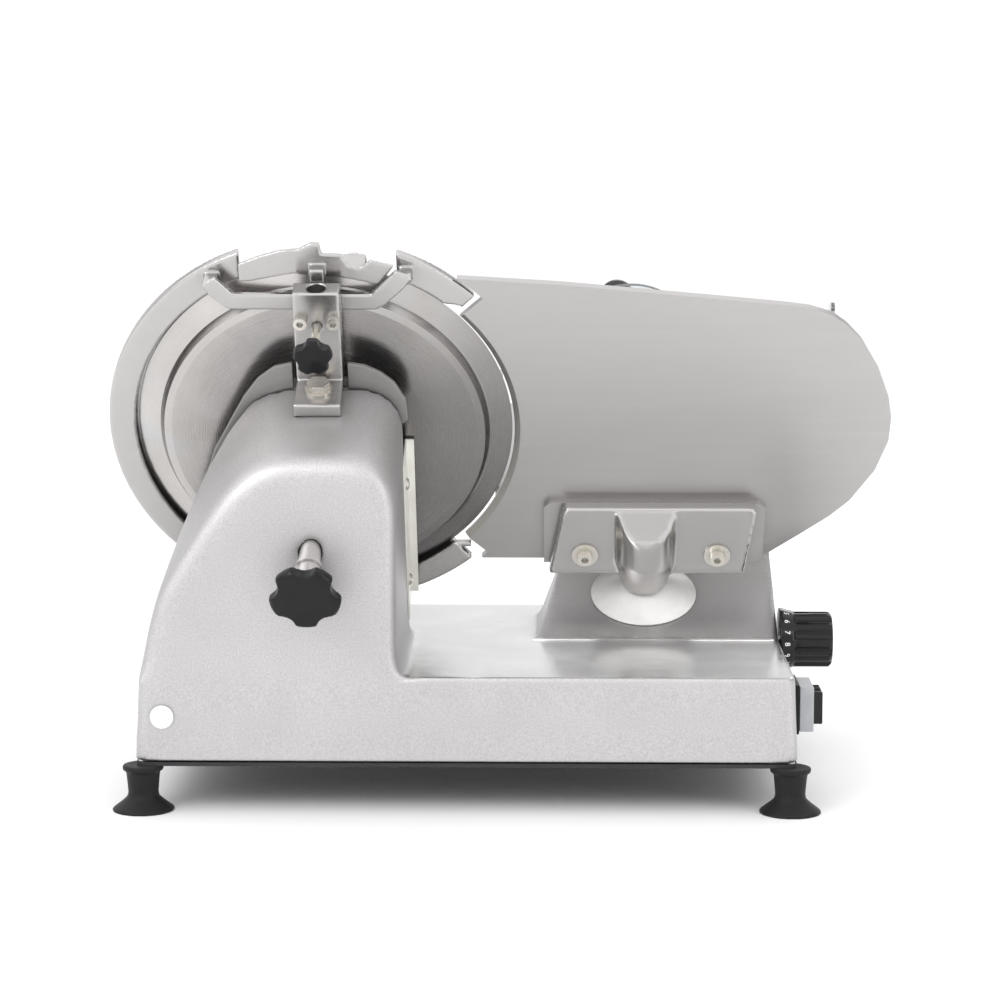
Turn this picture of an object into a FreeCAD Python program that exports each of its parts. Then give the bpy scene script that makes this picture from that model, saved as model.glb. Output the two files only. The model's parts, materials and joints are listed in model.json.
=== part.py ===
import FreeCAD, Part
import math
import os
import re
import Sketcher
from FreeCAD import Placement, Rotation, Vector

# Gravity-feed meat slicer with a 250 mm blade. Millimetres, +Z up, +Y towards the food side,
# +X towards the operator's end. The origin lies on the floor under the middle of the machine's box.
#
# The blade, its guard, the thickness plate and the carriage are laid out in the blade's frame:
#   across  along +X
#   up      in the blade's plane, upwards
#   out     along the blade's axis, towards the motor tower

VALUES = {
    # machine frame
    "centre_x": -18.25, "centre_y": -0.53,
    "base_length": 420, "base_depth": 292, "base_floor": 31.8, "base_top": 86.4, "draft": 2,
    "wall": 5, "corner": 7, "boss_radius": 14, "plate_thick": 2.5,
    # feet
    "foot_x": 205.5, "foot_y": 140.4, "foot_height": 29.3, "rim_radius": 19.7, "stud_radius": 3,
    # blade frame
    "tilt": 28, "blade_x": -97.5, "blade_y": -16.5, "blade_z": 233.5, "blade_radius": 125,
    # tower that carries the blade
    "tower_back": 30, "arch_top": 49.5, "arch_side": 53.5, "arch_round": 28,
    "bearing_radius": 21, "bearing_width": 12, "hub_end": 62,
    # drive
    "shaft_radius": 10, "shaft_bore": 6.5, "pulley_radius": 40, "pulley_width": 16,
    "motor_drop": 85, "motor_radius": 38, "motor_pulley_radius": 9, "belt_thick": 3,
    "rod_radius": 5, "knob_back": 184, "sleeve_radius": 7, "knob_radius": 22.5, "knob_thick": 10,
    # guard ring
    "ring_outer": 144.5, "ring_inner": 126.5, "ring_front": 4, "ring_skin": 2.5, "ring_deep": 3,
    "ring_lip": 1.5, "mouth_start": -48, "mouth_sweep": 93.5,
    "chord_low": 100, "chord_high": 111.5, "chord_back": 12, "chord_front": 16,
    # sharpener bracket
    "bracket_x": 1, "bracket_width": 30, "column_back": 19.5, "column_front": 34, "bracket_top": 123,
    "foot_top": 58, "bolt_out": 46, "clamp_up": 99,
    "tongue_width": 9, "tongue_thick": 3, "tongue_back": 16.2, "hood_out": 8.7, "stone_up": 117,
    # thickness plate
    "gauge_thick": 5, "gauge_gap": 126.5, "gauge_travel": 12, "slope_up": -134.8,
    "post_x": 215, "post_out": 8, "dish_radius": 36.5, "dish_height": 13,
    # raised block under the thickness plate
    "block_left": 41, "block_front": -6, "block_length": 105,
    # dial and switch
    "dial_y": 14, "dial_z": 84, "dial_radius": 19, "dial_length": 36,
    "switch_y": -97, "switch_z": 61, "gland_x": -175,
    # carriage
    "rail_y": 120, "rail_z": 60, "rail_radius": 10, "tray_up": -104, "tray_left": 112, "tray_right": 334,
    "tray_front": -6, "tray_back": -186, "carriage_travel": 240, "arm_x": 124, "lock_out": -98,
}
STEEL_FIT = 0.05

doc = FreeCAD.newDocument("meat_slicer")
dims = doc.addObject("Spreadsheet::Sheet", "dims")
for row, (alias, value) in enumerate(VALUES.items(), start=1):
    dims.set(f"A{row}", alias)
    dims.set(f"B{row}", str(value))
    dims.setAlias(f"B{row}", alias)
doc.recompute()

nodes = []


# ---------------------------------------------------------------- helpers

def bound(expression):
    """Point each dimension's name in an expression at its cell."""
    return re.sub(r"[a-z][a-z_]*", lambda m: ("dims." if m[0] in VALUES else "") + m[0], str(expression))


def stand(piece, x=0, y=0, z=0, turn=None):
    """Place a piece in the machine frame, measured from the middle of the base."""
    piece.Placement = Placement(Vector(), turn or Rotation())
    piece.setExpression("Placement.Base.x", bound(f"centre_x + ({x})"))
    piece.setExpression("Placement.Base.y", bound(f"centre_y + ({y})"))
    piece.setExpression("Placement.Base.z", bound(f"{z}"))
    return piece


ALONG_OUT = Rotation()
ALONG_UP = Rotation(Vector(1, 0, 0), -90)
ALONG_DOWN = Rotation(Vector(1, 0, 0), 90)
ALONG_ACROSS = Rotation(Vector(0, 1, 0), 90)
ALONG_FOOD = Rotation(Vector(1, 0, 0), 180)
SIDEWAYS = Rotation(Vector(0, 1, 0), -90)


def hang(piece, across=0, up=0, out=0, turn=ALONG_OUT):
    """Place a piece in the blade's frame, measured from the blade's centre."""
    tilted = Rotation(Vector(1, 0, 0), 90 + VALUES["tilt"])
    piece.Placement = Placement(Vector(), tilted.multiply(turn))
    sine, cosine = "sin(tilt * 1deg)", "cos(tilt * 1deg)"
    piece.setExpression("Placement.Base.x", bound(f"centre_x + blade_x + ({across})"))
    piece.setExpression("Placement.Base.y", bound(
        f"centre_y + blade_y - ({up}) * {sine} - ({out}) * {cosine}"))
    piece.setExpression("Placement.Base.z", bound(f"blade_z + ({up}) * {cosine} - ({out}) * {sine}"))
    return piece


def node(name, piece):
    """Register a finished piece under its own name."""
    piece.Label = name
    nodes.append(piece)
    return piece


def sketch_in(body, role, points):
    """Closed outline on one of the body's planes, each corner held at a pair of expressions."""
    plane = [f for f in body.Origin.OriginFeatures if f.Role == role][0]
    sketch = body.newObject("Sketcher::SketchObject", body.Name + "_outline")
    sketch.AttachmentSupport = [(plane, "")]
    sketch.MapMode = "FlatFace"
    count = len(points)
    start = [Vector(50 * math.cos(6.28 * k / count), 50 * math.sin(6.28 * k / count)) for k in range(count)]
    for k in range(count):
        sketch.addGeometry(Part.LineSegment(start[k], start[(k + 1) % count]))
    for k in range(count):
        sketch.addConstraint(Sketcher.Constraint("Coincident", k, 2, (k + 1) % count, 1))
    for k, corner in enumerate(points):
        for direction, expression in zip(("DistanceX", "DistanceY"), corner):
            index = sketch.addConstraint(Sketcher.Constraint(direction, -1, 1, k, 1, 10.0))
            sketch.setExpression(f"Constraints[{index}]", bound(expression))
    return sketch


def turned(name, profile):
    """Body of revolution about its own Z; the profile is (radius, height) pairs."""
    body = doc.addObject("PartDesign::Body", name)
    sketch = sketch_in(body, "XZ_Plane", profile)
    turn = body.newObject("PartDesign::Revolution", name + "_turn")
    turn.Profile = sketch
    turn.ReferenceAxis = (sketch, ["V_Axis"])
    turn.Angle = 360
    return body


def plate(name, outline, thick, plane="XY_Plane"):
    """Body of even thickness, padded from an outline."""
    body = doc.addObject("PartDesign::Body", name)
    sketch = sketch_in(body, plane, outline)
    pad = body.newObject("PartDesign::Pad", name + "_pad")
    pad.Profile = sketch
    pad.setExpression("Length", bound(thick))
    return body


def block(name, length, width, height):
    box = doc.addObject("Part::Box", name)
    for side, value in (("Length", length), ("Width", width), ("Height", height)):
        box.setExpression(side, bound(value))
    return box


def round_bar(name, radius, height, angle=360):
    bar = doc.addObject("Part::Cylinder", name)
    bar.setExpression("Radius", bound(radius))
    bar.setExpression("Height", bound(height))
    bar.Angle = angle
    return bar


def tube(name, outer, inner, height):
    return turned(name, [(inner, 0), (outer, 0), (outer, height), (inner, height)])


def joined(name, pieces):
    result = doc.addObject("Part::MultiFuse", name)
    result.Shapes = pieces
    return result


def cut(name, piece, tools):
    result = doc.addObject("Part::Cut", name)
    result.Base = piece
    result.Tool = tools[0] if len(tools) == 1 else joined(name + "_tools", tools)
    return result


def overlap(name, first, second):
    result = doc.addObject("Part::Common", name)
    result.Base = first
    result.Tool = second
    return result


def group(name, pieces):
    """Separate identical solids that share one node."""
    result = doc.addObject("Part::Compound", name)
    result.Links = pieces
    return result


def socket_screw(name, shank, length, head, head_height):
    """Socket-head screw on its own Z, head above z = 0 and shank below."""
    top = round_bar(name + "_head", head, head_height)
    stem = round_bar(name + "_shank", shank, length)
    stem.setExpression("Placement.Base.z", bound(f"-({length})"))
    socket = doc.addObject("Part::Prism", name + "_socket")
    socket.Polygon = 6
    socket.setExpression("Circumradius", bound(f"({head}) * 0.55"))
    socket.setExpression("Height", bound(head_height))
    socket.setExpression("Placement.Base.z", bound(f"({head_height}) * 0.45"))
    return cut(name, joined(name + "_solid", [top, stem]), [socket])


def pan_screw(name, shank, length, head):
    """Slot-less domed screw on its own Z, head above z = 0."""
    return turned(name, [(0, f"-({length})"), (shank, f"-({length})"), (shank, 0), (head, 0),
                         (head, 0.8), (f"({head}) * 0.7", 2), (0, 2.4)])


def scalloped(name, solid, lobes, scallop, pitch, height, start=0.0):
    """Cut evenly spaced round hollows into a knob's rim, along its Z."""
    tools = []
    for k in range(lobes):
        angle = math.radians(start + 360 * (k + 0.5) / lobes)
        tool = round_bar(f"{name}_hollow{k}", scallop, height)
        tool.setExpression("Placement.Base.x", bound(f"({pitch}) * {math.cos(angle):.9f}"))
        tool.setExpression("Placement.Base.y", bound(f"({pitch}) * {math.sin(angle):.9f}"))
        tool.setExpression("Placement.Base.z", "-1")
        tools.append(tool)
    return cut(name, solid, tools)


# ---------------------------------------------------------------- base housing

def frustum(name, inset, floor, top):
    """Block with drafted sides; inset moves every side inwards."""
    shape = doc.addObject("Part::Wedge", name)
    half_length, half_depth = f"base_length / 2 - ({inset})", f"base_depth / 2 - ({inset})"
    for prop, value in (
            ("Xmin", f"-({half_length})"), ("Xmax", half_length),
            ("Zmin", f"-({half_depth})"), ("Zmax", half_depth),
            ("X2min", f"-({half_length} - draft)"), ("X2max", f"{half_length} - draft"),
            ("Z2min", f"-({half_depth} - draft)"), ("Z2max", f"{half_depth} - draft"),
            ("Ymin", 0), ("Ymax", f"({top}) - ({floor})")):
        shape.setExpression(prop, bound(value))
    return stand(shape, 0, 0, floor, Rotation(Vector(1, 0, 0), 90))


def rounded(name, solid, radius, chosen):
    """Fillet the edges that the test picks."""
    doc.recompute()
    fillet = doc.addObject("Part::Fillet", name)
    fillet.Base = solid
    picked = [k for k, edge in enumerate(solid.Shape.Edges, start=1) if chosen(edge)]
    fillet.Edges = [(k, radius, radius) for k in picked]
    return fillet


def upright(edge):
    box = edge.BoundBox
    return box.ZLength > 30 and box.XLength < 5 and box.YLength < 5


def tower_solid():
    """Casting between the base and the blade: flared left flank, arched top, flat front."""
    flank = [(-208, "base_top - 6"), (-207.6, "base_top"), (-203, 112), (-195, 143), (-185, 175),
             (-173, 206), (-158, 233), (-130, 270), (-20, 290), ("blade_x + arch_side", 290),
             ("blade_x + arch_side", "base_top - 6")]
    front = plate("tower_front", flank, "base_depth", "XZ_Plane")
    stand(front, 0, "base_depth / 2 + draft", 0)
    # arch outline in the blade's plane
    shoulder = [(f"arch_side - arch_round * (1 - cos({turn}))", f"arch_top - arch_round * (1 - sin({turn}))")
                for turn in range(90, -1, -15)]
    arch = plate("tower_arch", [
        (-130, -190), (-130, -70), (-104, -36), (-86, -10), (-70, 12), (-55, 30), (-42, 41), (-30, 47),
        (-18, "arch_top")] + shoulder + [("arch_side", -190)], 260)
    hang(arch, 0, 0, "tower_back")
    crown = rounded("tower_crown", arch, VALUES["arch_round"] * 0.8, lambda e: is_crown(e))
    return overlap("tower", front, crown)


def is_crown(edge):
    """The two long top edges of the arch, away from its lower corners."""
    middle = edge.CenterOfMass - blade_centre()
    up = up_axis().dot(middle)
    return edge.Length > 200 and up > 5


def blade_centre():
    return Vector(VALUES["centre_x"] + VALUES["blade_x"], VALUES["centre_y"] + VALUES["blade_y"],
                  VALUES["blade_z"])


def up_axis():
    tilt = math.radians(VALUES["tilt"])
    return Vector(0, -math.sin(tilt), math.cos(tilt))


def flank_bores(name):
    """Clearance for the two screws in the tower's right side."""
    return [hang(round_bar(f"{name}_flank_bore{k}", 1.85, 8), "arch_side - 5", up, 38, ALONG_ACROSS)
            for k, up in enumerate(FLANK_SCREWS)]


def base_housing():
    shell = rounded("base_rounded", frustum("base_block", 0, "base_floor", "base_top"),
                    VALUES["corner"], upright)
    lift = "block_length * cos(tilt * 1deg)"
    rise = "block_length * sin(tilt * 1deg)"
    ramp = plate("ramp_pad", [
        ("block_front", "base_top - 4"), ("block_front", "base_top"),
        (f"block_front + {lift}", f"base_top + {rise}"),
        (f"block_front + {lift} + 3", f"base_top + {rise}"),
        (f"block_front + {lift} + 12", "base_top - 4")],
        "base_length / 2 - draft - block_left", "YZ_Plane")
    stand(ramp, "block_left", 0, 0)
    flank = block("ramp_flank", 60, 200, 120)
    stand(flank, "block_left - 60", -40, "base_top", Rotation(Vector(0, 1, 0), 20))
    ramp = cut("ramp", ramp, [flank])
    outside = joined("housing_outside", [shell, tower_solid(), ramp])

    room = frustum("base_room", "wall", "base_floor - 1", "base_top - wall")
    bosses = []
    for k, (sx, sy) in enumerate(CORNERS):
        boss = round_bar(f"corner_boss{k}", "boss_radius", 22)
        bosses.append(stand(boss, f"{sx} * foot_x", f"{sy} * foot_y", "base_floor - 2"))
    room = cut("base_cavity", room, bosses)
    tunnel = round_bar("tower_tunnel", "pulley_radius + 4", "119 - hub_end")
    hang(tunnel, 0, 0, "hub_end")
    well = block("tower_well", "2 * pulley_radius + 8", 135, "158 - hub_end")
    hang(well, "-pulley_radius - 4", -135, "hub_end")
    limit = block("tower_limit", 300, "base_depth - 2 * wall - 4", 200)
    stand(limit, -260, "wall + 2 - base_depth / 2", 44)
    hollow = overlap("tower_cavity", joined("tower_hollow", [tunnel, well]), limit)
    ramp_room = block("ramp_room", 120, 34, 76)
    hang(ramp_room, "post_x - 60", "slope_up - 39", -20)
    slot = block("ramp_slot", 20, 20, "20 + gauge_travel")
    hang(slot, "post_x - 10", "slope_up - 12", "post_out - 10")
    rail_slot = block("rail_slot", "carriage_travel + 60", 20, 20)
    stand(rail_slot, "arm_x - carriage_travel - 30", "base_depth / 2 - 14", "rail_z - 10")

    bearing_bore = round_bar("bearing_bore", "bearing_radius", "hub_end - tower_back - 2")
    hang(bearing_bore, 0, 0, "tower_back + 4")
    shaft_bore = round_bar("shaft_bore_front", "shaft_radius + 3", 20)
    hang(shaft_bore, 0, 0, "tower_back - 8")
    rod_bore = round_bar("rod_bore", "sleeve_radius", 80)
    hang(rod_bore, 0, 0, 100)
    foot_bores = []
    for k, (sx, sy) in enumerate(CORNERS):
        bore = round_bar(f"foot_bore{k}", "stud_radius", 16)
        foot_bores.append(stand(bore, f"{sx} * foot_x", f"{sy} * foot_y", "base_floor - 1"))
    dial_bore = round_bar("dial_bore", 8, 82)
    stand(dial_bore, "base_length / 2 - 72", "dial_y", "dial_z", ALONG_ACROSS)
    switch_bore = block("switch_bore", 20, 28, 22)
    stand(switch_bore, "base_length / 2 - 15", "switch_y - 14", "switch_z - 11")
    gland_bore = round_bar("gland_bore", 8, 20)
    stand(gland_bore, "gland_x", "base_depth / 2 - 10", 60, Rotation(Vector(1, 0, 0), -90))
    rail_seat = round_bar("rail_seat", "rail_radius", "base_length - 2 * wall")
    stand(rail_seat, "wall - base_length / 2", "rail_y", "rail_z", ALONG_ACROSS)
    boss_bore = round_bar("bolt_bore", 4, 22)
    hang(boss_bore, "bracket_x", "arch_top - 16", "bolt_out", ALONG_UP)
    tools = [room, hollow, ramp_room, slot, rail_slot, bearing_bore, shaft_bore, rod_bore, dial_bore,
             switch_bore, gland_bore, rail_seat, boss_bore] + foot_bores + flank_bores("housing")
    return cut("base_housing", outside, tools)


CORNERS = ((-1, -1), (1, -1), (1, 1), (-1, 1))
FLANK_SCREWS = (-21, -100)

node("base_housing", base_housing())

holes = []
for k, (sx, sy) in enumerate(CORNERS):
    hole = round_bar(f"plate_hole{k}", "stud_radius + 0.3", 10)
    holes.append(stand(hole, f"{sx} * foot_x", f"{sy} * foot_y", "base_floor - 6"))
sheet_block = block("bottom_sheet", "base_length - 1", "base_depth - 1", "plate_thick")
stand(sheet_block, "0.5 - base_length / 2", "0.5 - base_depth / 2", "base_floor - plate_thick")
sheet_round = rounded("bottom_sheet_round", sheet_block, VALUES["corner"],
                      lambda e: abs(e.BoundBox.ZLength - VALUES["plate_thick"]) < 0.01)
node("bottom_plate", cut("bottom_plate", sheet_round, holes))

feet = []
for k, (sx, sy) in enumerate(CORNERS):
    foot = turned(f"foot{k}", [
        (0, 3), (10, 2.5), ("rim_radius - 1.5", 0), ("rim_radius", 0), ("rim_radius", 1.2), (13.5, 6),
        (10.2, 9), (9.6, 12), (10.8, 25), (13, 26.5), (13, "foot_height"), ("stud_radius", "foot_height"),
        ("stud_radius", 14), (0, 14)])
    feet.append(stand(foot, f"{sx} * foot_x", f"{sy} * foot_y", 0))
node("suction_feet", group("suction_feet", feet))

studs = []
for k, (sx, sy) in enumerate(CORNERS):
    stud = round_bar(f"stud{k}", "stud_radius - 0.1", 30)
    studs.append(stand(stud, f"{sx} * foot_x", f"{sy} * foot_y", 14.5))
node("foot_studs", group("foot_studs", studs))


# ---------------------------------------------------------------- blade and its drive

def on_circle(count, radius, start=0.0):
    """Pairs of expressions for points evenly round a circle."""
    angles = [math.radians(start + 360 * k / count) for k in range(count)]
    return [(f"({radius}) * {math.cos(a):.9f}", f"({radius}) * {math.sin(a):.9f}") for a in angles]


def drilled(name, solid, places, radius, out, depth):
    """Cut round holes along the blade's axis at (across, up) places."""
    tools = []
    for k, (across, up) in enumerate(places):
        tools.append(hang(round_bar(f"{name}_hole{k}", radius, depth), across, up, out))
    return cut(name, solid, tools)


def screws(name, places, out, make, turn=ALONG_OUT):
    """Like screws along the blade's axis at (across, up) places, in one node."""
    return node(name, group(name, [hang(make(f"{name}{k}"), across, up, out, turn)
                                   for k, (across, up) in enumerate(places)]))


BLADE_SCREWS = on_circle(4, 33, 45)
blade_disc = hang(turned("blade_disc", [
    (20.05, 8), (96, 8), (103, 1.6), (117, 0.9), ("blade_radius", 0), (111.5, 4), (110, 4.8),
    (107, 10.4), (102, 11), (20.05, 11)]))
node("blade", drilled("blade", blade_disc, BLADE_SCREWS, 2.6, 5, 10))

shaft = hang(turned("shaft_turned", [
    ("shaft_bore", 9), (20, 9), (20, 11), (45, 11), (45, 16), ("shaft_radius", 17),
    ("shaft_radius", 86), ("shaft_bore", 86)]))
node("blade_shaft", drilled("blade_shaft", shaft, BLADE_SCREWS, 2.6, 5, 20))
screws("blade_screws", BLADE_SCREWS, 8, lambda name: socket_screw(name, 2.5, 7.5, 4, 2.6), ALONG_FOOD)

bearings = []
for name, out in (("rear_bearing", "tower_back + 4"), ("front_bearing", "hub_end - bearing_width")):
    bearing = tube(name, "bearing_radius - 0.02", f"shaft_radius + {STEEL_FIT}", "bearing_width")
    bearings.append(hang(bearing, 0, 0, out))
node("shaft_bearings", group("shaft_bearings", bearings))

PULLEY_OUT = 65
pulley = turned("blade_pulley", [
    ("shaft_radius", 0), (16, 0), (16, 5), (34, 5), (34, 0), ("pulley_radius", 0),
    ("pulley_radius", "pulley_width"), (34, "pulley_width"), (34, 11), (16, 11),
    (16, "pulley_width"), ("shaft_radius", "pulley_width")])
node("blade_pulley", hang(pulley, 0, 0, PULLEY_OUT))

rotor = turned("motor_rotor", [
    (0, 0), ("motor_pulley_radius", 0), ("motor_pulley_radius", "pulley_width"), (5, "pulley_width"),
    (5, 33), (22.6, 33), (22.6, 69), (5, 69), (5, 81), (0, 81)])
node("motor_rotor", hang(rotor, 0, "-motor_drop", PULLEY_OUT))
node("motor_stator", hang(tube("motor_stator", 35.4, 23, 42), 0, "-motor_drop", PULLEY_OUT + 30))
case = turned("motor_shell", [(35.5, 0), ("motor_radius", 0), ("motor_radius", 64), (5.1, 64), (5.1, 61),
                              (35.5, 61)])
hang(case, 0, "-motor_drop", PULLEY_OUT + 21)
mount = block("motor_mount", "2 * pulley_radius + 7.8", 80, 4)
hang(mount, "-pulley_radius - 3.9", "-motor_drop - 40", PULLEY_OUT + 17)
mount = drilled("motor_mount_drilled", mount, [(0, "-motor_drop")], 5.1, 70, 30)
node("motor_case", joined("motor_case", [case, mount]))


def drive_belt():
    """Flat belt round the two pulleys: the loop between two offset outlines."""
    drop, thick = VALUES["motor_drop"], VALUES["belt_thick"]

    def loop(big, small):
        lean = math.acos((big - small) / drop)
        sides = []
        for side in (1, -1):
            direction = Vector(side * math.sin(lean), -math.cos(lean), 0)
            sides.append((direction * big, Vector(0, -drop, 0) + direction * small))
        (right_top, right_low), (left_top, left_low) = sides
        edges = [Part.Arc(left_top, Vector(0, big, 0), right_top).toShape(),
                 Part.LineSegment(right_top, right_low).toShape(),
                 Part.Arc(right_low, Vector(0, -drop - small, 0), left_low).toShape(),
                 Part.LineSegment(left_low, left_top).toShape()]
        return Part.Face(Part.Wire(edges))

    big, small = VALUES["pulley_radius"] + 0.1, VALUES["motor_pulley_radius"] + 0.1
    face = loop(big + thick, small + thick).cut(loop(big, small))
    belt = doc.addObject("Part::Feature", "drive_belt")
    belt.Shape = face.extrude(Vector(0, 0, VALUES["pulley_width"] - 2))
    return hang(belt, 0, 0, PULLEY_OUT + 1)


node("drive_belt", drive_belt())

capacitor = round_bar("run_capacitor", 16, 62)
node("run_capacitor", stand(capacitor, 20, -70, 53, ALONG_ACROSS))

# ---------------------------------------------------------------- blade cover and its tie rod

cover = turned("blade_cover", [
    (0, -4), (94, -4), (101, -0.6), (101, 0.6), (93, -2.2), (9, -2.2), (9, 7), (5.05, 7), (5.05, -2.2),
    (0, -2.2)])
node("blade_cover", hang(cover))
rod_sleeve = f"sleeve_radius - {STEEL_FIT}"
node("tie_rod", hang(turned("tie_rod", [
    (0, -1.5), ("rod_radius", -1.5), ("rod_radius", "knob_back - 72"), (rod_sleeve, "knob_back - 72"),
    (rod_sleeve, "knob_back - 26"), ("sleeve_radius + 1.2", "knob_back - 26"),
    ("sleeve_radius + 1.2", "knob_back - 23"), (rod_sleeve, "knob_back - 23"),
    (rod_sleeve, "knob_back"), ("rod_radius", "knob_back"), ("rod_radius", "knob_back + 6"),
    (0, "knob_back + 6")])))


def lobed_knob(name, radius, thick, bore, bore_deep, lobes, start):
    """Moulded knob with round lobes, dished face away from its boss."""
    body = turned(name + "_body", [
        (bore, 0), (f"({radius}) * 0.5", 0), (f"({radius}) * 0.92", 1.2), (radius, 3),
        (radius, f"({thick}) - 2.5"), (f"({radius}) * 0.9", thick), (0, f"({thick}) + 0.6"),
        (0, bore_deep), (bore, bore_deep)])
    return scalloped(name, body, lobes, f"({radius}) * 0.42", f"({radius}) * 1.2", 30, start)


node("cover_knob", hang(lobed_knob("cover_knob", "knob_radius", "knob_thick", "rod_radius", 6, 5, 270),
                        0, 0, "knob_back"))

# ---------------------------------------------------------------- guard ring round the blade

def sector(name, radius, start, sweep, thick, out):
    """Pie slice about the blade's axis, from the start angle."""
    slice_ = round_bar(name, radius, thick, sweep)
    return hang(slice_, 0, 0, out, Rotation(Vector(0, 0, 1), start))


def guard_ring():
    hoop = hang(turned("guard_hoop", [
        ("ring_inner", "ring_front - ring_skin"), ("ring_outer - 3", "ring_front - ring_skin"),
        ("ring_outer - 3", "ring_lip - ring_deep"), ("ring_inner - 4", "ring_lip - ring_deep"),
        ("ring_inner - 4", "-ring_deep"), ("ring_outer", "-ring_deep"), ("ring_outer", "ring_front - 1"),
        ("ring_outer - 1", "ring_front"), ("ring_inner", "ring_front")]))
    window = hang(block("guard_window", 101, 60, 40), -50, 100, -20)
    mouth = sector("guard_mouth", 160, VALUES["mouth_start"], VALUES["mouth_sweep"], 40, -20)
    hoop = cut("guard_cut", hoop, [mouth, window])
    corner = [(-2, 51), (0.5, 50), (6, 46.5), (6, 44), (-3, 44)]
    tip = plate("guard_tip", [(f"(ring_inner + {wide}) * cos({turn} * 1deg)",
                               f"(ring_inner + {wide}) * sin({turn} * 1deg)") for wide, turn in corner], 20)
    hang(tip, 0, 0, -8)
    hoop = cut("guard_tipped", hoop, [tip])
    pin = hang(round_bar("guard_pin", 2.6, 13), 83, -96.5, 0.5, ALONG_ACROSS)
    chord = plate("guard_chord", [
        (-74, 118.5), (-69, 110.5), (-59, "chord_low + 1"), (-55, "chord_low"), (38, "chord_low"),
        (44, "chord_low + 3.5"), (56, 115.5), (62, 123.5), (51, 128.5), (35, "chord_high"),
        (-54, "chord_high"), (-65, 123.5)], "chord_front - chord_back")
    hang(chord, 0, 0, "chord_back")
    posts = [hang(block("left_post", 9, 8, "chord_back - 2"), -73, 113, 3),
             hang(block("right_post", 8, 8, "chord_back - 2"), 53, 117, 3)]
    solid = joined("guard_joined", [hoop, chord, pin] + posts)
    return drilled("guard_ring", solid, BRACKET_SCREWS, 2.6, 0, 20)


BRACKET_SCREWS = [("bracket_x - 10.5", 103), ("bracket_x + 10.5", 103)]
node("guard_ring", guard_ring())

# ---------------------------------------------------------------- sharpener bracket and its clamp

def sharpener_bracket():
    left = "bracket_x - bracket_width / 2"
    foot = hang(block("bracket_foot", "bracket_width", "foot_top - arch_top", 32), left, "arch_top",
                "column_front - 2")
    column = hang(block("bracket_column", "bracket_width", "bracket_top - arch_top",
                        "column_front - column_back"), left, "arch_top", "column_back")
    pads = [hang(round_bar(f"bracket_pad{k}", 5, "column_back - chord_front + 1"), across, up, "chord_front")
            for k, (across, up) in enumerate(BRACKET_SCREWS)]
    solid = joined("bracket_solid", [foot, column] + pads)
    tools = [hang(round_bar("top_bore", 6, 17), "bracket_x", "bracket_top - 16", 26.5, ALONG_UP),
             hang(round_bar("clamp_bore", 3.05, 30), "bracket_x", "clamp_up", "column_back - 4"),
             hang(round_bar("bolt_clear", 4.2, 30), "bracket_x", "arch_top - 5", "bolt_out", ALONG_UP)]
    for k, (across, up) in enumerate(BRACKET_SCREWS):
        tools.append(hang(round_bar(f"bracket_bore{k}", 2.6, 40), across, up, 0))
    return cut("sharpener_bracket", solid, tools)


node("sharpener_bracket", sharpener_bracket())
screws("bracket_screws", BRACKET_SCREWS, "column_front", lambda name: socket_screw(name, 2.5, 20, 4.3, 5))


def hex_bolt(name, shank, length, across_corners, head_height):
    """Hexagon bolt on its own Z with its head just above z = 0."""
    head = doc.addObject("Part::Prism", name + "_hex")
    head.Polygon = 6
    head.setExpression("Circumradius", bound(across_corners))
    head.setExpression("Height", bound(head_height))
    stem = round_bar(name + "_shank", shank, length)
    stem.setExpression("Placement.Base.z", bound(f"-({length})"))
    head.setExpression("Placement.Base.z", "1")
    return joined(name, [head, stem])


bolt = joined("bracket_bolt", [hex_bolt("bolt_solid", 3.95, 22, 7.5, 5.3), round_bar("bolt_flange", 9, 1.5)])
node("bracket_bolt", hang(bolt, "bracket_x", "foot_top", "bolt_out", ALONG_UP))

CLAMP_KNOB_OUT = 65
STUD_OUT = "tongue_back + tongue_thick + 0.1"
stud = round_bar("clamp_stud", 3, f"{CLAMP_KNOB_OUT} + 6 - ({STUD_OUT})")
node("clamp_stud", hang(stud, "bracket_x", "clamp_up", STUD_OUT))
node("clamp_knob", hang(lobed_knob("clamp_knob", 12.5, 10, 3, 6, 5, 90), "bracket_x", "clamp_up",
                        CLAMP_KNOB_OUT))

# ---------------------------------------------------------------- sharpener

def sharpener_hood():
    face = hang(plate("hood_face", [
        (-44, 118.5), (-50, 119), (-50, 131), (-36, 137), (-23, 141), (-11, 142), (-3, 146.5),
        (3, 146.5), (4, 139), (17, 138), (22, 130), (29, 129), (35, 134), (50, 130), (40, 115.5),
        (30, 118.5), (16, 121.5), (2, 122.5), (-15, 124.5)], 3), 0, 0, "hood_out")
    shell = hang(plate("hood_shell", [
        ("hood_out + 0.2", "blade_radius + 0.8"), ("hood_out + 0.2", "blade_radius + 2.6"),
        (-8.6, "blade_radius + 2.6"), (-14, 122.3), (-14, 112), (-11, 112), (-11, 121.3),
        (-8.9, "blade_radius + 0.8")], 62), 31, 0, 0, SIDEWAYS)
    edge = "bracket_x - tongue_width / 2"
    tongue = hang(block("hood_tongue", "tongue_width", "bracket_top - 86", "tongue_thick"), edge, 88,
                  "tongue_back")
    lug = hang(block("hood_lug", "tongue_width", 8, "tongue_back + tongue_thick - hood_out - 1"), edge,
               "bracket_top + 0.5", "hood_out + 1")
    solid = joined("hood_solid", [face, shell, tongue, lug])
    return drilled("sharpener_hood", solid, STONES, 3 + STEEL_FIT, -16, 7)


STONES = [(-22, "stone_up"), (22, "stone_up")]
node("sharpener_hood", sharpener_hood())

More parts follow.
